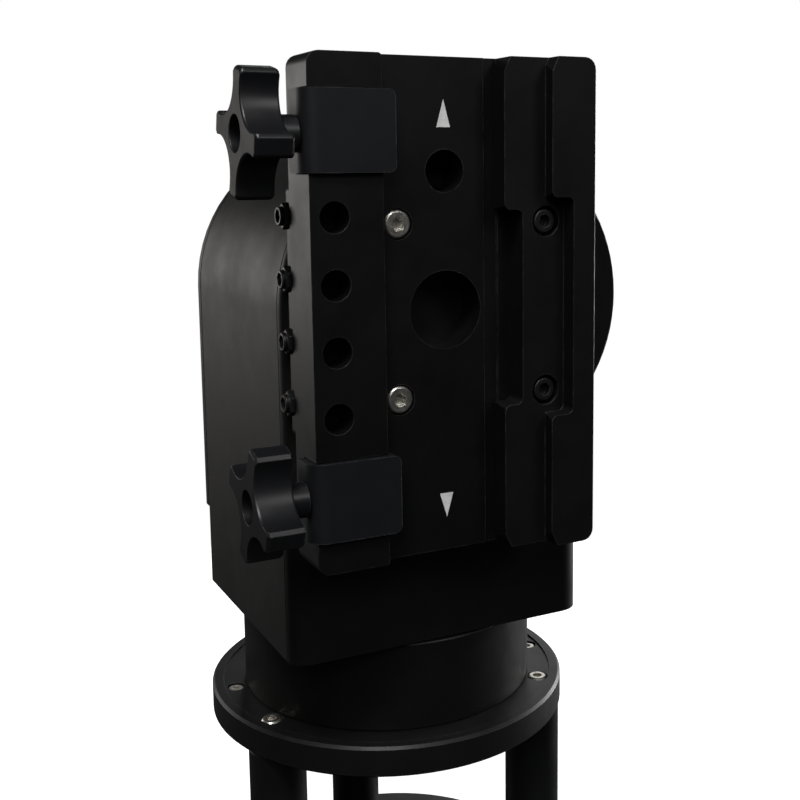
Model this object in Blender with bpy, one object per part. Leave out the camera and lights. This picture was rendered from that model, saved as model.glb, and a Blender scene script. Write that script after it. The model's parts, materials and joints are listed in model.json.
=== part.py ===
"""Single-arm alt azimuth mount with a dovetail saddle, on a three-post pier adapter.

Frame: metres, +Z up, the azimuth axis is the Z axis, the underside of the pier
adapter is Z = 0, and the saddle faces -Y. Dimensions below are in millimetres.
"""

import math

import bmesh
import bpy
from mathutils import Matrix, Vector

MM = 0.001

# ---------------------------------------------------------------- dimensions
GAP = 0.3                   # running and seating gap between separate pieces

OFFSET = Vector((-4.05, -9.1, 0.0))     # arm and saddle stand forward of the azimuth axis; their
                                        # own dimensions below are taken from the altitude axis

BASE_R, BASE_T = 87.5, 12.0             # pier adapter, lower disc
POST_R, POST_PCR = 13.2, 73.8           # three pillars on one circle
POST_TOP = 117.3
POST_ANGLES = (-158.5, -38.5, 81.5)
FLANGE_Z0, FLANGE_Z1 = 117.6, 131.6     # azimuth flange
LIP_R, LIP_DROP = 82.0, 0.8
SCREW_PCR, SCREW_R = 76.7, 4.9          # flange screws, just outside the drum
SMALL_ANGLES = (170.6, -9.4)            # the two set-screw positions

NECK_R, NECK_WALL = 71.1, 8.0           # azimuth drum
NECK_TOP = 171.5

ARM_X, ARM_W = 1.6, 72.2                # the arm's centre line, half width and round top's radius
ARM_BOTTOM = 172.0
ALT_Z = 324.0                           # altitude axis height
ARM_FRONT, ARM_BACK = -61.0, 61.5
FRONT_T, FRONT_FILLET, FRONT_INWARD = 7.7, 7.0, 9.5
WALL, FLOOR = 8.0, 10.0
COVER_T, COVER_LOW = 5.4, 211.0

SPINDLE_R, SPINDLE_HOLE = 18.5, 20.0
DRIVE_R, DRIVE_BORE = 50.0, 19.5

HUB_Y0, HUB_Y1 = -70.7, -62.0           # hub plate between arm and saddle
HUB_R, HUB_X = 68.4, 17.4
HUB_LEFT, HUB_HALF = -68.6, 52.0

PLATE_Y0, PLATE_Y1 = -87.0, -71.0       # saddle plate, front and back
PLATE_X0, PLATE_X1 = -39.3, 50.3
HALF_L = 101.3                          # half length of the saddle
HOLE_X = -9.9                           # the saddle's own centre line
HOLE_R, UPPER_HOLE_R, UPPER_HOLE_Z = 16.1, 8.6, 56.2

BAR_X0, BAR_X1, BAR_Y0 = -70.3, -39.6, -93.5
BAR_HOLE_X, BAR_HOLE_R, BAR_HOLE_PITCH, BAR_HOLE_DEPTH = -60.3, 6.1, 26.1, 14.0

RAIL_L1_Y, RAIL_L2_Y = -98.5, -106.0    # narrow and wide dovetail ledges
RAIL_L1_X, RAIL_L2_X = 11.4, 29.4
UNDERCUT = 1.5
RAIL_N1_X, RAIL_N1_Z = 19.9, 40.2       # relief between the narrow ledges
RAIL_N2_X, RAIL_N2_Z = 39.8, 45.0       # relief between the wide ledges
RAIL_SCREW_X, RAIL_SCREW_Z = 30.9, 35.3

JAW_Z, JAW_HALF = 71.8, 15.9            # clamp jaws
JAW_Y0, JAW_Y1 = -96.0, -80.3
JAW_X0, JAW_BLOCK_X1, JAW_X1 = -73.0, -60.2, -35.0
JAW_NOSE_X, JAW_NOSE_Y, JAW_ROUND = -39.2, -87.4, 7.5
BRIDGE_Y = -92.5                        # back of the bridge that joins block and nose
BAR_WALL_X = -52.2                      # wall left in the bar that takes the stud's thread
STUD_Y, STUD_R = -87.5, 2.9
KNOB_X0, KNOB_X1 = -96.6, -81.4         # outer and inner face of the star
KNOB_R, KNOB_ARM, KNOB_WAIST, KNOB_EDGE = 24.5, 4.6, 12.0, 1.1
KNOB_Z = 70.7                           # the studs sit a little inside the jaws' middles
COLLAR_R, KNOB_HOLE_R = 7.2, 6.9
STUD_END = -49.4

# ---------------------------------------------------------------- start clean
for old in list(bpy.data.objects):
    bpy.data.objects.remove(old, do_unlink=True)


def principled(name, colour, rough, metal):
    mat = bpy.data.materials.new(name)
    mat.use_nodes = True
    node = next(n for n in mat.node_tree.nodes if n.type == "BSDF_PRINCIPLED")
    node.inputs["Base Color"].default_value = (*colour, 1.0)
    node.inputs["Roughness"].default_value = rough
    node.inputs["Metallic"].default_value = metal
    return mat


LOOKS = {
    "anodised": ((0.013, 0.013, 0.014), 0.42, 0.6),
    "painted": ((0.02, 0.02, 0.021), 0.5, 0.2),
    "knob": ((0.016, 0.016, 0.018), 0.32, 0.5),
    "jaw": ((0.03, 0.03, 0.034), 0.38, 0.5),
    "stainless": ((0.62, 0.59, 0.55), 0.3, 1.0),
    "black_steel": ((0.012, 0.012, 0.012), 0.35, 0.8),
    "drive": ((0.35, 0.36, 0.38), 0.4, 0.9),
    "board": ((0.02, 0.14, 0.05), 0.5, 0.0),
}


def new_object(name, bm, look):
    bmesh.ops.recalc_face_normals(bm, faces=bm.faces)
    mesh = bpy.data.meshes.new(name)
    bm.to_mesh(mesh)
    bm.free()
    obj = bpy.data.objects.new(name, mesh)
    bpy.context.scene.collection.objects.link(obj)
    if look:
        mesh.materials.append(principled(name + "_finish", *LOOKS[look]))
        mesh.shade_smooth()
        mesh.set_sharp_from_angle(angle=math.radians(35))
    return obj


AXES = {
    "X": lambda a, b, h: (h, a, b),     # outline in Y and Z
    "Y": lambda a, b, h: (a, h, b),     # outline in X and Z
    "Z": lambda a, b, h: (a, b, h),     # outline in X and Y
}


forward = False     # True while the arm and the saddle are made


def loft(name, sections, axis, look):
    """Closed solid through outlines of equal point count; sections are (height, outline)."""
    bm = bmesh.new()
    place = AXES[axis]
    shift = OFFSET if forward else Vector((0.0, 0.0, 0.0))
    rings = [
        [bm.verts.new((Vector(place(a, b, h)) + shift) * MM) for a, b in outline]
        for h, outline in sections
    ]
    for low, high in zip(rings, rings[1:]):
        n = len(low)
        for i in range(n):
            j = (i + 1) % n
            bm.faces.new((low[i], low[j], high[j], high[i]))
    bm.faces.new(rings[0][::-1])
    bm.faces.new(rings[-1])
    return new_object(name, bm, look)


def prism(name, outline, h0, h1, axis, look=None):
    return loft(name, [(h0, outline), (h1, outline)], axis, look)


def arc(cx, cy, r, a0, a1, steps):
    return [
        (
            cx + r * math.cos(math.radians(a0 + (a1 - a0) * i / steps)),
            cy + r * math.sin(math.radians(a0 + (a1 - a0) * i / steps)),
        )
        for i in range(steps + 1)
    ]


def circle(cx, cy, r, n=48, turn=0.0):
    return [
        (
            cx + r * math.cos(math.radians(turn) + 2 * math.pi * i / n),
            cy + r * math.sin(math.radians(turn) + 2 * math.pi * i / n),
        )
        for i in range(n)
    ]


def rounded(x0, y0, x1, y1, corners, steps=5):
    """Rectangle whose corner radii run bottom-left, bottom-right, top-right, top-left."""
    spots = (
        (x0, y0, 1, 1, 180),
        (x1, y0, -1, 1, 270),
        (x1, y1, -1, -1, 0),
        (x0, y1, 1, -1, 90),
    )
    points = []
    for (x, y, sx, sy, start), r in zip(spots, corners):
        if r <= 0:
            points.append((x, y))
        else:
            points += arc(x + sx * r, y + sy * r, r, start, start + 90, steps)
    return points


def turned(name, profile, n=64, look=None, axis="Z", centre=(0.0, 0.0)):
    """Solid of revolution; the profile is (radius, height) pairs from one end to the other."""
    rings = [(h, circle(centre[0], centre[1], r, n)) for r, h in profile]
    return loft(name, rings, axis, look)


def cutter(obj):
    obj.hide_render = True
    obj.display_type = "WIRE"
    return obj


def boolean(obj, tool, operation="DIFFERENCE"):
    mod = obj.modifiers.new(operation.lower(), "BOOLEAN")
    mod.operation = operation
    mod.solver = "EXACT"
    mod.object = cutter(tool)
    return obj


def tombstone(inset, low, steps=32):
    """Arm outline in X and Z: straight sides and a full round top about the altitude axis."""
    half = ARM_W - inset
    return [(ARM_X - half, low), (ARM_X + half, low)] + arc(ARM_X, ALT_Z, half, 0, 180, steps)


def hexagon(cx, cy, across, turn=0.0):
    return circle(cx, cy, across / math.sqrt(3), 6, turn)


def socket_screw(name, axis, centre, seat, top, r, across, deep, look, chamfer=0.5):
    """Cylindrical or button head with a hexagon socket; seat and top are along the axis."""
    side = 1 if top > seat else -1
    head = turned(
        name,
        [(r, seat), (r, top - side * chamfer), (r - chamfer, top)],
        28, look, axis, centre,
    )
    hexa = prism(name + "_socket", hexagon(*centre, across, 15), top - side * deep, top + side * 1, axis)
    return boolean(head, hexa)


# ---------------------------------------------------------------- pier adapter
turned("base_plate", [(BASE_R, 0), (BASE_R, BASE_T - 1.5), (BASE_R - 1.5, BASE_T)], 72, "painted")


def polar(r, deg):
    return (r * math.cos(math.radians(deg)), r * math.sin(math.radians(deg)))


for i, deg in enumerate(POST_ANGLES, 1):
    turned(f"post_{i}", [(POST_R, BASE_T + GAP), (POST_R, POST_TOP)], 32, "painted", centre=polar(POST_PCR, deg))

flange = turned(
    "azimuth_flange",
    [(BASE_R - 1, FLANGE_Z0), (BASE_R, FLANGE_Z0 + 1), (BASE_R, FLANGE_Z1 - 1.2), (BASE_R - 1.2, FLANGE_Z1)],
    96, "anodised",
)
boolean(flange, turned("flange_recess", [(LIP_R, FLANGE_Z1 - LIP_DROP), (LIP_R, FLANGE_Z1 + 2)], 96))
for i, deg in enumerate(POST_ANGLES, 1):
    spot = polar(SCREW_PCR, deg)
    boolean(flange, prism(f"flange_pocket_{i}", circle(*spot, SCREW_R + 0.3, 28), FLANGE_Z1 - 4.5, FLANGE_Z1 + 2, "Z"))
    socket_screw(f"flange_screw_{i}", "Z", spot, FLANGE_Z1 - 4.2, FLANGE_Z1 - 0.3, SCREW_R, 4, 2.2, "stainless", 1.0)
for i, deg in enumerate(SMALL_ANGLES, 1):
    spot = polar(SCREW_PCR, deg)
    boolean(flange, prism(f"set_pocket_{i}", circle(*spot, 4.3, 24), FLANGE_Z1 - 5.0, FLANGE_Z1 + 2, "Z"))
    socket_screw(f"flange_set_screw_{i}", "Z", spot, FLANGE_Z1 - 4.7, FLANGE_Z1 - 1.4, 3.9, 3, 1.8, "stainless", 0.5)

# ---------------------------------------------------------------- azimuth drum and drive
deck = FLANGE_Z1 - LIP_DROP
neck = turned("azimuth_drum", [(NECK_R, deck + GAP), (NECK_R, NECK_TOP - 0.8), (NECK_R - 0.8, NECK_TOP)], 96, "anodised")
boolean(neck, turned("drum_bore", [(NECK_R - NECK_WALL, deck - 2), (NECK_R - NECK_WALL, NECK_TOP + 2)], 72))

az_drive = turned("azimuth_drive", [(DRIVE_R, deck + GAP), (DRIVE_R, 160), (DRIVE_R - 6, 167)], 48, "drive")
boolean(az_drive, turned("azimuth_drive_bore", [(DRIVE_BORE, 139), (DRIVE_BORE, 175)], 48))

turned(
    "azimuth_spindle",
    [(SPINDLE_R - 1, 139.6), (SPINDLE_R, 140.6), (SPINDLE_R, ARM_BOTTOM + FLOOR + GAP), (32.0, ARM_BOTTOM + FLOOR + GAP + 0.01), (32.0, 187.3)],
    48, "drive",
)

# ---------------------------------------------------------------- arm
forward = True
shell = prism("arm_shell", tombstone(0, ARM_BOTTOM), ARM_FRONT + FRONT_T + GAP, ARM_BACK, "Y", "painted")
boolean(shell, prism("arm_cavity", tombstone(WALL, ARM_BOTTOM + FLOOR), ARM_FRONT - 5, ARM_BACK - WALL, "Y"))
boolean(shell, prism("arm_service_opening", rounded(-48, 236, 48, 374, (8, 8, 30, 30)), ARM_BACK - WALL - 4, ARM_BACK + 5, "Y"))
boolean(shell, turned("arm_floor_hole", [(SPINDLE_HOLE, ARM_BOTTOM - 3), (SPINDLE_HOLE, ARM_BOTTOM + FLOOR + 3)], 48, centre=(-OFFSET.x, -OFFSET.y)))

# The front plate's outer edge is filleted along the sides and over the round top,
# and stays sharp along the bottom.
front_sections = [
    (ARM_FRONT + FRONT_FILLET * (1 - math.sin(math.radians(t))), tombstone(FRONT_INWARD * (1 - math.cos(math.radians(t))), ARM_BOTTOM))
    for t in (90, 75, 60, 45, 30, 15, 0)
] + [(ARM_FRONT + FRONT_T, tombstone(0, ARM_BOTTOM))]
front = loft("arm_front_plate", front_sections, "Y", "anodised")
boolean(front, turned("front_bore", [(SPINDLE_HOLE, ARM_FRONT - 4), (SPINDLE_HOLE, ARM_FRONT + FRONT_T + 4)], 48, axis="Y", centre=(0, ALT_Z)))

cover_y0 = ARM_BACK + GAP
prism("arm_back_cover", tombstone(0, COVER_LOW), cover_y0, cover_y0 + COVER_T, "Y", "painted")
for i, (x, z) in enumerate(((-59, 222), (62, 222), (-42, 368), (45, 368)), 1):
    socket_screw(f"cover_screw_{i}", "Y", (x, z), cover_y0 + COVER_T + GAP, cover_y0 + COVER_T + 2.5, 3.8, 2.5, 1.4, "black_steel", 0.8)

alt_drive = turned("altitude_drive", [(DRIVE_R, ARM_FRONT + FRONT_T + GAP), (DRIVE_R, -20), (DRIVE_R - 8, -10)], 48, "drive", "Y", (0, ALT_Z))
boolean(alt_drive, turned("altitude_drive_bore", [(DRIVE_BORE, -60), (DRIVE_BORE, -5)], 48, axis="Y", centre=(0, ALT_Z)))
turned("altitude_spindle", [(SPINDLE_R, HUB_Y1 + GAP), (SPINDLE_R, -16), (SPINDLE_R - 1, -15)], 48, "drive", "Y", (0, ALT_Z))
prism("control_board", rounded(-45, 188, 45, 226, (3, 3, 3, 3), 3), ARM_BACK - WALL - 1.9, ARM_BACK - WALL - GAP, "Y", "board")

# ---------------------------------------------------------------- hub plate
meet = HUB_X - math.sqrt(HUB_R**2 - HUB_HALF**2)
lean = math.degrees(math.asin(HUB_HALF / HUB_R))
hub_outline = (
    arc(HUB_LEFT + 4, ALT_Z + HUB_HALF - 4, 4, 90, 180, 4)
    + arc(HUB_LEFT + 4, ALT_Z - HUB_HALF + 4, 4, 180, 270, 4)
    + arc(HUB_X, ALT_Z, HUB_R, 180 + lean, 540 - lean, 56)
)
prism("hub_plate", hub_outline, HUB_Y0, HUB_Y1, "Y", "anodised")
lock_y = (HUB_Y0 + HUB_Y1) / 2 + 0.2
for i in range(4):
    z = ALT_Z + (1.5 - i) * 25.2 + 1.4
    name = f"side_lock_screw_{i + 1}"
    x = HUB_LEFT - GAP
    nut = hexagon(lock_y, z, 9.4, 30)
    body = loft(name, [(x, nut), (x - 2.4, nut), (x - 2.9, hexagon(lock_y, z, 8.6, 30))], "X", "black_steel")
    nose = [(3.9, x - 1.0), (3.9, x - 4.2), (3.5, x - 4.7)]
    boolean(body, turned(name + "_nose", nose, 28, axis="X", centre=(lock_y, z)), "UNION")
    boolean(body, prism(name + "_socket", hexagon(lock_y, z, 5, 10), x - 6, x - 1.6, "X"))

# ---------------------------------------------------------------- saddle plate
plate = prism(
    "saddle_plate",
    rounded(PLATE_X0, ALT_Z - HALF_L, PLATE_X1, ALT_Z + HALF_L, (0, 5, 5, 0)),
    PLATE_Y0, PLATE_Y1, "Y", "anodised",
)
boolean(plate, prism("plate_hole", circle(HOLE_X, ALT_Z, HOLE_R, 56), PLATE_Y0 - 3, PLATE_Y1 + 3, "Y"))
boolean(plate, prism("plate_upper_hole", circle(HOLE_X, ALT_Z + UPPER_HOLE_Z, UPPER_HOLE_R, 40), PLATE_Y0 - 3, PLATE_Y1 + 3, "Y"))
boolean(plate, prism("plate_relief", rounded(8.2, ALT_Z - HALF_L - 3, 14.5, ALT_Z + HALF_L + 3, (0, 0, 0, 0)), PLATE_Y0 - 3, PLATE_Y0 + 1.0, "Y"))
for i, side in enumerate((1, -1), 1):
    spot = (-30.9, ALT_Z + side * 35.5)
    boolean(plate, prism(f"plate_pocket_{i}", circle(*spot, 6.3, 28), PLATE_Y0 - 3, PLATE_Y0 + 4.0, "Y"))
    socket_screw(f"saddle_screw_{i}", "Y", spot, PLATE_Y0 + 3.7, PLATE_Y0 - 0.2, 5.9, 5, 2.6, "stainless", 0.9)

# ---------------------------------------------------------------- side bar
bar = prism(
    "side_bar",
    rounded(BAR_X0, ALT_Z - HALF_L, BAR_X1, ALT_Z + HALF_L, (5, 1.5, 1.5, 5)),
    BAR_Y0, PLATE_Y1, "Y", "anodised",
)
for i, side in enumerate((1, -1), 1):
    mid = ALT_Z + side * JAW_Z
    step = [
        (BAR_X0 - 4, BAR_Y0 - 4),
        (BAR_X1 + 4, BAR_Y0 - 4),
        (BAR_X1 + 4, BRIDGE_Y + GAP),
        (BAR_WALL_X, BRIDGE_Y + GAP),
        (BAR_WALL_X, JAW_Y1 + GAP),
        (BAR_X0 - 4, JAW_Y1 + GAP),
    ]
    boolean(bar, prism(f"bar_notch_{i}", step, mid - JAW_HALF - GAP, mid + JAW_HALF + GAP, "Z"))
    boolean(bar, prism(f"bar_stud_hole_{i}", circle(STUD_Y, ALT_Z + side * KNOB_Z, STUD_R + 0.3, 20), BAR_WALL_X - 3, BAR_X1 + 3, "X"))
for i in range(4):
    spot = (BAR_HOLE_X, ALT_Z + (1.5 - i) * BAR_HOLE_PITCH)
    boolean(bar, prism(f"bar_hole_{i + 1}", circle(*spot, BAR_HOLE_R, 36), BAR_Y0 - 3, BAR_Y0 + BAR_HOLE_DEPTH, "Y"))

# ---------------------------------------------------------------- fixed jaw rail
rail_back = PLATE_Y0 - GAP
rail_profile = [
    (RAIL_L1_X + UNDERCUT, rail_back),
    (PLATE_X1, rail_back),
    (PLATE_X1, RAIL_L2_Y),
    (RAIL_L2_X, RAIL_L2_Y),
    (RAIL_L2_X + UNDERCUT, RAIL_L1_Y),
    (RAIL_L1_X, RAIL_L1_Y),
]
rail = prism("fixed_jaw_rail", rail_profile, ALT_Z - HALF_L, ALT_Z + HALF_L, "Z", "anodised")
boolean(rail, prism("rail_corners", rounded(0, ALT_Z - HALF_L, PLATE_X1, ALT_Z + HALF_L, (0, 5, 5, 0)), -112, -80, "Y"), "INTERSECT")


def relief(x0, x1, half, r_out=3.0, r_in=2.6):
    """Outline of a relief whose mouth corners are rounded outwards and whose inner corners are filleted."""
    top = (
        [(x0 - 6, ALT_Z + half + r_out)]
        + arc(x0 + r_out, ALT_Z + half + r_out, r_out, 180, 270, 5)
        + arc(x1 - r_in, ALT_Z + half - r_in, r_in, 90, 0, 5)
    )
    return top + [(x, 2 * ALT_Z - z) for x, z in reversed(top)]


boolean(rail, prism("rail_relief_narrow", relief(RAIL_L1_X, RAIL_N1_X, RAIL_N1_Z), -112, rail_back + 2, "Y"))
boolean(rail, prism("rail_relief_wide", relief(RAIL_L2_X, RAIL_N2_X, RAIL_N2_Z), -112, RAIL_L1_Y, "Y"))
for i, side in enumerate((1, -1), 1):
    z0, z1, z2 = (ALT_Z + side * (HALF_L - 6), ALT_Z + side * (HALF_L + 2), ALT_Z + side * (HALF_L + 6))
    for tag, x, y in (("narrow", RAIL_L1_X, rail_back + 2), ("wide", RAIL_L2_X, RAIL_L1_Y)):
        lead = [(x, z0), (x + 4.0, z1), (x + 4.0, z2), (x - 8, z2), (x - 8, z0)]
        boolean(rail, prism(f"rail_lead_{tag}_{i}", lead, -112, y, "Y"))
    spot = (RAIL_SCREW_X, ALT_Z + side * RAIL_SCREW_Z)
    boolean(rail, prism(f"rail_counterbore_{i}", circle(*spot, 6.3, 32), -112, RAIL_L1_Y + 6.0, "Y"))
    socket_screw(f"rail_screw_{i}", "Y", spot, RAIL_L1_Y + 5.7, RAIL_L1_Y + 0.7, 5.0, 5, 3.0, "black_steel", 0.5)

# ---------------------------------------------------------------- clamp jaws and star knobs
jaw_profile = (
    arc(JAW_X0 + JAW_ROUND, JAW_Y0 + JAW_ROUND, JAW_ROUND, 180, 270, 9)
    + [
        (JAW_X1, JAW_Y0),
        (JAW_X1 - 1.6, JAW_NOSE_Y),
        (JAW_NOSE_X, JAW_NOSE_Y),
        (JAW_NOSE_X, BRIDGE_Y),
        (JAW_BLOCK_X1, BRIDGE_Y),
        (JAW_BLOCK_X1, JAW_Y1),
        (JAW_X0, JAW_Y1),
    ]
)


def star_outline(turn):
    """Four-armed star in Y and Z about its own centre; the flanks between two arms are one arc."""
    tip = 1.4
    lo, hi = 5.0, 60.0
    for _ in range(60):     # the flank's radius, so that it leaves the waist and meets both arms
        rho = (lo + hi) / 2
        d = (rho + KNOB_WAIST) / math.sqrt(2)
        if math.hypot(KNOB_R - tip - d, KNOB_ARM - d) < rho:
            hi = rho
        else:
            lo = rho
    start = math.degrees(math.atan2(KNOB_ARM - d, KNOB_R - tip - d))
    quarter = [(KNOB_R, -KNOB_ARM + tip), (KNOB_R, KNOB_ARM - tip)] + arc(d, d, rho, start, -270 - start, 12)
    points = []
    for k in range(4):
        t = math.radians(90 * k + turn)
        for y, z in quarter:
            a, b = y * math.cos(t) - z * math.sin(t), y * math.sin(t) + z * math.cos(t)
            points.append((-a, b))      # 0 degrees points to the front, -Y
    return points


def placed(outline, scale, cy, cz):
    return [(cy + y * scale, cz + z * scale) for y, z in outline]


for tag, side, turn in (("upper", 1, -12.6), ("lower", -1, -20)):
    mid = ALT_Z + side * JAW_Z
    axle = ALT_Z + side * KNOB_Z
    jaw = prism(f"clamp_jaw_{tag}", jaw_profile, mid - JAW_HALF, mid + JAW_HALF, "Z", "jaw")
    boolean(jaw, prism(f"jaw_corners_{tag}", rounded(JAW_X0 - 5, mid - JAW_HALF, JAW_X1, mid + JAW_HALF, (0, 3, 3, 0)), -112, -70, "Y"), "INTERSECT")
    boolean(jaw, prism(f"jaw_stud_hole_{tag}", circle(STUD_Y, axle, STUD_R + 0.3, 20), JAW_X0 - 3, JAW_BLOCK_X1 + 3, "X"))

    star = star_outline(turn)
    small = 1 - KNOB_EDGE / KNOB_R
    sections = [
        (x, placed(star, scale, STUD_Y, axle))
        for x, scale in ((KNOB_X0, small), (KNOB_X0 + KNOB_EDGE, 1), (KNOB_X1 - KNOB_EDGE, 1), (KNOB_X1, small))
    ]
    knob = loft(f"clamp_knob_{tag}", sections, "X", "knob")
    boolean(knob, turned(f"knob_collar_{tag}", [(COLLAR_R, KNOB_X1 - 3), (COLLAR_R, JAW_X0 - GAP)], 32, axis="X", centre=(STUD_Y, axle)), "UNION")
    boolean(knob, turned(f"knob_stud_{tag}", [(STUD_R, KNOB_X1 - 2), (STUD_R, STUD_END + 1), (STUD_R - 0.8, STUD_END + 1.8)], 20, axis="X", centre=(STUD_Y, axle)), "UNION")
    boolean(knob, turned(f"knob_recess_{tag}", [(KNOB_HOLE_R, KNOB_X0 - 3), (KNOB_HOLE_R, KNOB_X0 + 9)], 32, axis="X", centre=(STUD_Y, axle)))
    # the knob turns about its stud, so its origin sits on the stud's axis
    shift = (Vector((KNOB_X1, STUD_Y, axle)) + OFFSET) * MM
    knob.data.transform(Matrix.Translation(-shift))
    knob.location = shift
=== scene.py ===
"""Looks for the alt azimuth mount: refined pieces, materials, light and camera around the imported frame."""

import json
import math

import bmesh
import bpy
from mathutils import Matrix, Vector

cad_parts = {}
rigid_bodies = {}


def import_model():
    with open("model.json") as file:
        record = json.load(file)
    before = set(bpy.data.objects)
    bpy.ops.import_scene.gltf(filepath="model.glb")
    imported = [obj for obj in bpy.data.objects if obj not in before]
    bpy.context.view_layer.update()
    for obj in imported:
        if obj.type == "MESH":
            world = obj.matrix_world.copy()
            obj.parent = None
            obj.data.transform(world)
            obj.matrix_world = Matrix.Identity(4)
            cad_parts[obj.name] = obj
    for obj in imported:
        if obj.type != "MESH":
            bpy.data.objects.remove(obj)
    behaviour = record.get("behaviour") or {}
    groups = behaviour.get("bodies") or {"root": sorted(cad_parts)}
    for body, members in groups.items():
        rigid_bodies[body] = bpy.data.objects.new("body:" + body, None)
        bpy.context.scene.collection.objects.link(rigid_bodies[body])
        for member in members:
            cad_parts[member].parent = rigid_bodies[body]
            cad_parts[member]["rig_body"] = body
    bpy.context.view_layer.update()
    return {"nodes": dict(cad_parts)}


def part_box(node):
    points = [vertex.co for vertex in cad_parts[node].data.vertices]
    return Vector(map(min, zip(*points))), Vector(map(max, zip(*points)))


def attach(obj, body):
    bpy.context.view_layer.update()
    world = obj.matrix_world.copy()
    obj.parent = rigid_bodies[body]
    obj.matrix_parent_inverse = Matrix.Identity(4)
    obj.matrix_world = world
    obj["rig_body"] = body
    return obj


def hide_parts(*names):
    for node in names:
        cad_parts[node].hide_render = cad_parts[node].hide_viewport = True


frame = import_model()
nodes = frame["nodes"]
scene = bpy.context.scene
MM = 0.001
ALT = Vector((0.0, 0.0, 0.324))


# ------------------------------------------------------------------ materials
class Graph:
    """Short names for building a material's nodes."""

    def __init__(self, name):
        self.mat = bpy.data.materials.new(name)
        self.mat.use_nodes = True
        self.tree = self.mat.node_tree
        self.bsdf = next(n for n in self.tree.nodes if n.type == "BSDF_PRINCIPLED")
        self.coord = self.tree.nodes.new("ShaderNodeTexCoord").outputs["Object"]

    def node(self, kind, inputs=None, **props):
        n = self.tree.nodes.new(kind)
        for key, value in props.items():
            setattr(n, key, value)
        for key, value in (inputs or {}).items():
            self.plug(n.inputs[key], value)
        return n

    def plug(self, socket, value):
        if isinstance(value, bpy.types.NodeSocket):
            self.tree.links.new(value, socket)
        else:
            socket.default_value = value

    def stretched(self, scale):
        m = self.node("ShaderNodeMapping", {"Vector": self.coord})
        m.inputs["Scale"].default_value = scale
        return m.outputs["Vector"]

    def noise(self, scale, detail=3.0, rough=0.55, vector=None):
        n = self.node("ShaderNodeTexNoise", {"Vector": vector or self.coord, "Scale": scale, "Detail": detail, "Roughness": rough})
        return n.outputs["Fac"]

    def remap(self, value, a, b, c, d):
        n = self.node("ShaderNodeMapRange", {0: value, 1: a, 2: b, 3: c, 4: d})
        return n.outputs[0]

    def ramp(self, value, stops):
        n = self.node("ShaderNodeValToRGB", {"Fac": value})
        while len(n.color_ramp.elements) < len(stops):
            n.color_ramp.elements.new(0.5)
        for e, (at, col) in zip(n.color_ramp.elements, stops):
            e.position = at
            e.color = (*col, 1.0)
        return n.outputs["Color"]

    def blend(self, fac, a, b):
        n = self.node("ShaderNodeMix", data_type="RGBA")
        self.plug(n.inputs["Factor"], fac)
        self.plug(n.inputs["A"], a)
        self.plug(n.inputs["B"], b)
        return n.outputs["Result"]

    def maths(self, op, a, b):
        n = self.node("ShaderNodeMath", {0: a, 1: b}, operation=op)
        return n.outputs[0]

    def bump(self, height, strength, distance, normal=None):
        n = self.node("ShaderNodeBump", {"Height": height, "Strength": strength, "Distance": distance})
        if normal is not None:
            self.plug(n.inputs["Normal"], normal)
        return n.outputs["Normal"]

    def edges(self, radius):
        """1 along sharp outer edges, 0 on flat faces."""
        geo = self.node("ShaderNodeNewGeometry")
        bev = self.node("ShaderNodeBevel", {"Radius": radius}, samples=4)
        dot = self.node("ShaderNodeVectorMath", {0: bev.outputs["Normal"], 1: geo.outputs["Normal"]}, operation="DOT_PRODUCT")
        return self.remap(dot.outputs["Value"], 0.99, 0.80, 0.0, 1.0)


def black_metal(name, dark, light, rough, specular=0.3, grain=0.02, brushed=None, edge_wear_and_highlight_amount=0.35, coat=0.0):
    """Black anodised or painted aluminium: faint mottling, fine blasted grain, edges lightened partly as
    rubbed-through scuffs and partly as a painted edge highlight.
    """
    g = Graph(name)
    broad = g.noise(28.0, 4.0)
    fine = g.noise(900.0, 2.0)
    colour = g.ramp(broad, [(0.3, dark), (0.7, light)])
    # edges blended towards pale grey under a scuff noise: partly real rubbed edges, partly a painted edge highlight
    edge = g.edges(0.0007)
    scuffed = g.remap(g.noise(140.0, 4.0, 0.7), 0.42, 0.62, 0.15, 1.0)
    edge_wear_and_highlight = g.maths("MULTIPLY", g.maths("MULTIPLY", edge, scuffed), edge_wear_and_highlight_amount)
    colour = g.blend(edge_wear_and_highlight, colour, (0.16, 0.16, 0.165, 1.0))
    g.plug(g.bsdf.inputs["Base Color"], colour)
    haze = g.noise(45.0, 5.0, 0.65)
    roughness = g.remap(haze, 0.3, 0.7, rough - 0.05, rough + 0.06)
    g.plug(g.bsdf.inputs["Roughness"], roughness)
    g.bsdf.inputs["Specular IOR Level"].default_value = specular
    if coat:
        g.bsdf.inputs["Coat Weight"].default_value = coat
        g.bsdf.inputs["Coat Roughness"].default_value = 0.18
    height = fine
    if brushed:
        lines = g.noise(420.0, 3.0, 0.6, g.stretched(brushed))
        height = g.maths("ADD", g.maths("MULTIPLY", lines, 0.7), g.maths("MULTIPLY", fine, 0.3))
    g.plug(g.bsdf.inputs["Normal"], g.bump(height, grain * 10, 0.00004))
    return g.mat


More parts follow.
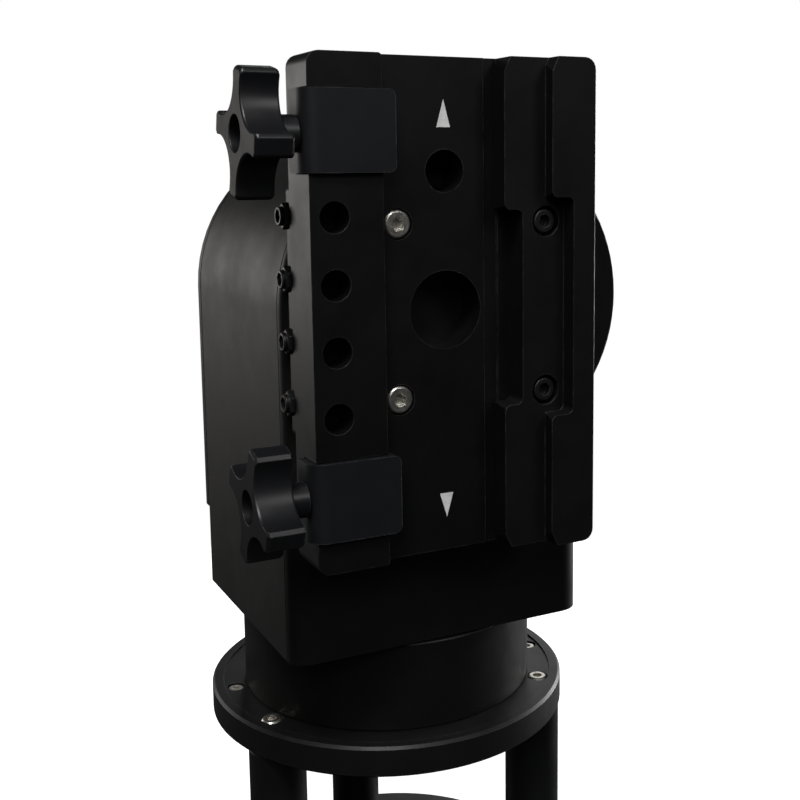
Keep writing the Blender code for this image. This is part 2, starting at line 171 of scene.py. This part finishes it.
def knob_metal(name):
    """Black anodised star knob: satin turned end faces and smoother, tumbled scallops."""
    mat = black_metal(name, (0.0042, 0.0043, 0.0052), (0.007, 0.0072, 0.0086), 0.4, edge_wear_and_highlight_amount=0.5)
    g = Graph.__new__(Graph)
    g.mat, g.tree = mat, mat.node_tree
    g.bsdf = next(n for n in g.tree.nodes if n.type == "BSDF_PRINCIPLED")
    g.coord = g.node("ShaderNodeTexCoord").outputs["Object"]
    axes = g.node("ShaderNodeSeparateXYZ", {"Vector": g.node("ShaderNodeTexCoord").outputs["Normal"]})
    along = g.maths("MULTIPLY", axes.outputs["X"], axes.outputs["X"])
    g.plug(g.bsdf.inputs["Specular IOR Level"], g.remap(along, 0.55, 0.95, 0.5, 0.1))
    g.plug(g.bsdf.inputs["Roughness"], g.maths("ADD", g.remap(g.noise(45.0, 5.0, 0.65), 0.3, 0.7, -0.04, 0.05), g.remap(along, 0.55, 0.95, 0.38, 0.5)))
    return mat


def bright_metal(name, tone, rough, turned=True):
    g = Graph(name)
    broad = g.noise(260.0, 3.0)
    colour = g.ramp(broad, [(0.3, tuple(c * 0.8 for c in tone)), (0.7, tone)])
    # painted highlight: sharp edges blended halfway towards a pale grey
    edge = g.edges(0.0003)
    colour = g.blend(g.maths("MULTIPLY", edge, 0.5), colour, (0.85, 0.83, 0.8, 1.0))
    g.plug(g.bsdf.inputs["Base Color"], colour)
    g.bsdf.inputs["Metallic"].default_value = 1.0
    g.plug(g.bsdf.inputs["Roughness"], g.remap(g.noise(500.0, 4.0), 0.3, 0.7, rough - 0.08, rough + 0.08))
    g.plug(g.bsdf.inputs["Normal"], g.bump(g.noise(2200.0, 2.0), 0.25, 0.00003))
    return g.mat


PLATE = black_metal("anodised_plate", (0.0022, 0.0022, 0.0024), (0.0036, 0.0036, 0.0039), 0.44, brushed=(1, 1, 0.03))
RAIL = black_metal("anodised_rail", (0.0042, 0.0042, 0.0047), (0.0066, 0.0066, 0.0073), 0.42, brushed=(1, 1, 0.03))
BAR = black_metal("anodised_bar", (0.0024, 0.0024, 0.0026), (0.0038, 0.0038, 0.0041), 0.43, brushed=(1, 1, 0.03))
JAW = black_metal("blasted_jaw", (0.0075, 0.0079, 0.0092), (0.0105, 0.011, 0.0126), 0.5, grain=0.04, edge_wear_and_highlight_amount=0.5)
KNOB = knob_metal("anodised_knob")
ARM = black_metal("powder_arm", (0.006, 0.0058, 0.0055), (0.009, 0.0086, 0.0082), 0.5, grain=0.045, edge_wear_and_highlight_amount=0.2)
FRONT = black_metal("anodised_front", (0.0052, 0.0051, 0.005), (0.0078, 0.0077, 0.0075), 0.42, edge_wear_and_highlight_amount=0.3)
HUB = black_metal("anodised_hub", (0.004, 0.004, 0.0044), (0.0065, 0.0065, 0.007), 0.42, edge_wear_and_highlight_amount=0.4)
DRUM = black_metal("anodised_drum", (0.0045, 0.0044, 0.0043), (0.0068, 0.0067, 0.0065), 0.38, brushed=(0.05, 0.05, 1), edge_wear_and_highlight_amount=0.3)
FLANGE = black_metal("turned_flange", (0.005, 0.005, 0.0055), (0.0075, 0.0075, 0.008), 0.44, specular=0.32, grain=0.03, edge_wear_and_highlight_amount=0.6)
POST = black_metal("anodised_post", (0.0055, 0.0056, 0.0055), (0.0085, 0.0087, 0.0085), 0.4, brushed=(1, 1, 0.05), edge_wear_and_highlight_amount=0.3)
STEEL = bright_metal("stainless_screw", (0.72, 0.69, 0.63), 0.36)
OXIDE = black_metal("black_oxide", (0.0045, 0.0045, 0.0045), (0.011, 0.011, 0.011), 0.36, specular=0.4, edge_wear_and_highlight_amount=0.5)
INNER = bright_metal("machined_inner", (0.4, 0.41, 0.43), 0.42)


def board_material():
    g = Graph("circuit_board")
    g.plug(g.bsdf.inputs["Base Color"], g.ramp(g.noise(90.0), [(0.35, (0.01, 0.08, 0.025)), (0.65, (0.02, 0.15, 0.05))]))
    g.plug(g.bsdf.inputs["Roughness"], g.remap(g.noise(300.0), 0.3, 0.7, 0.4, 0.6))
    return g.mat


def paint_material():
    g = Graph("white_mark")
    g.plug(g.bsdf.inputs["Base Color"], g.ramp(g.noise(300.0, 4.0), [(0.3, (0.74, 0.74, 0.73)), (0.6, (0.88, 0.88, 0.87))]))
    g.plug(g.bsdf.inputs["Roughness"], g.remap(g.noise(500.0), 0.3, 0.7, 0.5, 0.7))
    g.plug(g.bsdf.inputs["Normal"], g.bump(g.noise(1500.0), 0.3, 0.00003))
    return g.mat


BOARD, PAINT = board_material(), paint_material()


# ------------------------------------------------------------------ refined pieces
def body_of(node):
    return nodes[node]["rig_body"]


def applied(obj):
    """Turns an object's modifiers into its mesh."""
    bpy.context.view_layer.update()
    dg = bpy.context.evaluated_depsgraph_get()
    made = bpy.data.meshes.new_from_object(obj.evaluated_get(dg), preserve_all_data_layers=True, depsgraph=dg)
    obj.modifiers.clear()
    obj.data = made
    return made


def refine(node, material, width=0.4, segments=2, angle=28.0, clamp=True, sharp=50.0, rejoin=True):
    """A copy of a CAD node with its flat faces rejoined and every sharp edge given a small real bevel."""
    src = nodes[node]
    bm = bmesh.new()
    bm.from_mesh(src.data)
    bmesh.ops.remove_doubles(bm, verts=bm.verts, dist=2e-6)
    if rejoin:
        bmesh.ops.dissolve_limit(
            bm, angle_limit=math.radians(0.6), verts=bm.verts, edges=bm.edges, delimit=set()
        )
    mesh = bpy.data.meshes.new(node + "_fine")
    bm.to_mesh(mesh)
    bm.free()
    mesh.materials.clear()
    mesh.materials.append(material)
    obj = bpy.data.objects.new(node + "_fine", mesh)
    scene.collection.objects.link(obj)
    mod = obj.modifiers.new("edge", "BEVEL")
    mod.width = width * MM
    mod.segments = segments
    mod.limit_method = "ANGLE"
    mod.angle_limit = math.radians(angle)
    mod.use_clamp_overlap = clamp
    mod.miter_outer = "MITER_ARC"
    mod.harden_normals = False
    mod.loop_slide = width > 0.2     # a narrow bevel by a thin web keeps its width beside slanting edges
    made = applied(obj)
    made.shade_smooth()
    made.set_sharp_from_angle(angle=math.radians(sharp))
    flat = obj.modifiers.new("flat", "WEIGHTED_NORMAL")     # keeps the large faces flat beside their bevels
    flat.keep_sharp = True
    flat.weight = 100 if rejoin else 50
    flat.mode = "FACE_AREA" if rejoin else "FACE_AREA_WITH_ANGLE"
    applied(obj)
    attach(obj, body_of(node))
    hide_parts(node)
    return obj


FINE = {
    "saddle_plate": (PLATE, 0.45, 2),
    "fixed_jaw_rail": (RAIL, 0.45, 2),
    "side_bar": (BAR, 0.6, 2),
    "hub_plate": (HUB, 0.7, 2),
    "arm_front_plate": (FRONT, 0.35, 1),
    "arm_shell": (ARM, 0.5, 2),
    "arm_back_cover": (ARM, 0.8, 2),
    "azimuth_drum": (DRUM, 0.5, 2),
    "azimuth_flange": (FLANGE, 0.2, 2),
    "base_plate": (FLANGE, 0.8, 2),
    "clamp_jaw_upper": (JAW, 0.5, 2),
    "clamp_jaw_lower": (JAW, 0.5, 2),
    "clamp_knob_upper": (KNOB, 0.6, 3),
    "clamp_knob_lower": (KNOB, 0.6, 3),
}
fine = {}
for name, (mat, width, segs) in FINE.items():
    # the flange's deck has five pockets close to its edges, so its faces stay as they are
    fine[name] = refine(name, mat, width, segs, rejoin=name != "azimuth_flange")
for name in nodes:
    if name.startswith("post_"):
        fine[name] = refine(name, POST, 0.6, 2)
    elif name.startswith(("flange_screw", "flange_set", "saddle_screw")):
        fine[name] = refine(name, STEEL, 0.25, 2)
    elif name.startswith(("rail_screw", "cover_screw", "side_lock")):
        fine[name] = refine(name, OXIDE, 0.25, 2)
for name, mat in (
    ("azimuth_drive", INNER), ("altitude_drive", INNER), ("azimuth_spindle", INNER),
    ("altitude_spindle", INNER), ("control_board", BOARD),
):
    nodes[name].data.materials.clear()
    nodes[name].data.materials.append(mat)


# ------------------------------------------------------------------ painted marks
def mark(name, points, y, thick=0.06):
    """A thin raised patch of paint on the saddle plate's front; points are x, z in millimetres."""
    bm = bmesh.new()
    back = [bm.verts.new(Vector((x, y, z)) * MM) for x, z in points]
    front = [bm.verts.new(Vector((x, y - thick, z)) * MM) for x, z in points]
    n = len(points)
    for i in range(n):
        j = (i + 1) % n
        bm.faces.new((back[i], back[j], front[j], front[i]))
    bm.faces.new(back[::-1])
    bm.faces.new(front)
    bmesh.ops.recalc_face_normals(bm, faces=bm.faces)
    mesh = bpy.data.meshes.new(name)
    bm.to_mesh(mesh)
    bm.free()
    mesh.materials.append(PAINT)
    obj = bpy.data.objects.new(name, mesh)
    scene.collection.objects.link(obj)
    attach(obj, "saddle")
    return obj


plate_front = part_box("saddle_plate")[0].y / MM
mark("mark_upper", [(-17.4, 397.6), (-11.2, 397.6), (-14.2, 408.7)], plate_front + 0.01)
mark("mark_lower", [(-17.5, 247.0), (-11.3, 247.0), (-14.3, 236.6)], plate_front + 0.01)


# ------------------------------------------------------------------ stage
def floor():
    bm = bmesh.new()
    ring = [(0.62 * math.cos(2 * math.pi * i / 96), 0.62 * math.sin(2 * math.pi * i / 96)) for i in range(96)]
    bm.faces.new([bm.verts.new((x, y, -0.0005)) for x, y in ring])
    mesh = bpy.data.meshes.new("floor")
    bm.to_mesh(mesh)
    bm.free()
    g = Graph("pale_floor")
    g.plug(g.bsdf.inputs["Base Color"], g.ramp(g.noise(2.0), [(0.3, (0.78, 0.78, 0.78)), (0.7, (0.8, 0.8, 0.8))]))
    g.bsdf.inputs["Roughness"].default_value = 0.9
    g.bsdf.inputs["Specular IOR Level"].default_value = 0.1
    g.bsdf.inputs["Emission Color"].default_value = (1.0, 1.0, 1.0, 1.0)
    g.bsdf.inputs["Emission Strength"].default_value = 0.93
    mesh.materials.append(g.mat)
    obj = bpy.data.objects.new("floor", mesh)
    scene.collection.objects.link(obj)
    obj.visible_diffuse = False     # the studio's floor doesn't light the object from below
    obj.visible_glossy = False


floor()

world = bpy.data.worlds.new("studio")
scene.world = world
world.use_nodes = True
tree = world.node_tree
tree.nodes.clear()
out = tree.nodes.new("ShaderNodeOutputWorld")
mix = tree.nodes.new("ShaderNodeMixShader")
path = tree.nodes.new("ShaderNodeLightPath")
dim = tree.nodes.new("ShaderNodeBackground")
dim.inputs["Color"].default_value = (0.9, 0.95, 1.0, 1.0)
dim.inputs["Strength"].default_value = 0.03
pale = tree.nodes.new("ShaderNodeBackground")
pale.inputs["Color"].default_value = (1.0, 1.0, 1.0, 1.0)
pale.inputs["Strength"].default_value = 1.0
tree.links.new(path.outputs["Is Camera Ray"], mix.inputs[0])
tree.links.new(dim.outputs[0], mix.inputs[1])
tree.links.new(pale.outputs[0], mix.inputs[2])
tree.links.new(mix.outputs[0], out.inputs["Surface"])


def softbox(name, at, towards, size, power, colour=(1, 1, 1)):
    data = bpy.data.lights.new(name, "AREA")
    data.shape = "RECTANGLE"
    data.size, data.size_y = size
    data.energy = power
    data.color = colour
    obj = bpy.data.objects.new(name, data)
    obj.location = at
    obj.rotation_euler = (Vector(towards) - Vector(at)).to_track_quat("-Z", "Y").to_euler()
    scene.collection.objects.link(obj)
    return obj


# name: place, aim, size, power in watts, colour
LIGHTS = {
    "back_low": ((-1.3, 1.9, 0.50), (0, 0, 0.30), (1.2, 0.85), 10.5, (1.0, 0.97, 0.93)),
    "back_right": ((1.2, 1.8, 1.0), (0, 0, 0.25), (1.2, 0.8), 4.5, (1, 1, 1)),
    "front_right": ((0.95, -2.1, 1.75), (0, 0, 0.35), (0.9, 0.8), 9.0, (1, 1, 1)),
    "front_left": ((-1.3, -2.0, 1.9), (0, 0, 0.30), (1.2, 1.0), 16.0, (1, 1, 1)),
    "right": ((2.0, 0.3, 0.25), (0, 0, 0.18), (0.8, 0.6), 46.0, (1, 1, 1)),
    "front_top": ((-0.66, -1.0, 2.15), (0, 0, 0.25), (0.8, 0.5), 26.0, (1, 1, 1)),
}
for name, (at, towards, size, power, colour) in LIGHTS.items():
    softbox(name, at, towards, size, power, colour)

# ------------------------------------------------------------------ camera
cam_data = bpy.data.cameras.new("camera")
cam_data.sensor_width = 36.0
cam_data.lens = 1157.948 / 800 * 36.0
cam_data.shift_x = (400 - 446.53) / 800
cam_data.shift_y = (326.19 - 400) / 800
cam_data.clip_start = 0.01
cam = bpy.data.objects.new("camera", cam_data)
forward = Vector((0.4539, 0.8807, -0.1354)).normalized()
right = Vector((0.8882, -0.4594, -0.0101)).normalized()
up = right.cross(forward).normalized()
right = forward.cross(up).normalized()
rot = Matrix((right, up, -forward)).transposed()
cam.matrix_world = Matrix.Translation((-0.22905, -0.5140, 0.3814)) @ rot.to_4x4()
scene.collection.objects.link(cam)
scene.camera = cam
scene.view_settings.view_transform = "Standard"
